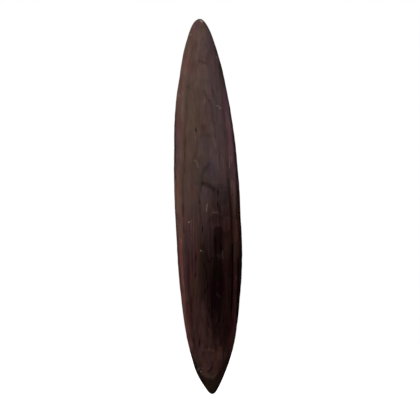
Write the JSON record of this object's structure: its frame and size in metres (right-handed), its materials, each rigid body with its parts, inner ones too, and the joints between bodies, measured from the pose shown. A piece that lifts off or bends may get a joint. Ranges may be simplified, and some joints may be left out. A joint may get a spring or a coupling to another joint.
{
  "type": "carved wooden shield",
  "caption": "Long leaf-shaped wooden hand shield with a smooth rounded front and a bent sapling handle socketed and pegged into bosses on its flat back.",
  "frame": {"origin": "middle of the handle's grip, at mid length of the board", "axes": "+Z along the board's length with the top tip up, +Y out of the back with the handle, so the carved front faces -Y, +X to the right of someone who looks at the front"},
  "size_m": [0.1584, 0.0799, 0.9],
  "materials": {
    "dark_hardwood": "satin",
    "sapling_wood": "satin",
    "peg_wood": "satin",
    "gum": "satin"
  },
  "bodies": {
    "root": {"shield_board": "dark_hardwood", "handle": "sapling_wood", "upper_peg": "peg_wood", "lower_peg": "peg_wood", "upper_gum_collar": "gum", "lower_gum_collar": "gum"}
  },
  "joints": []
}
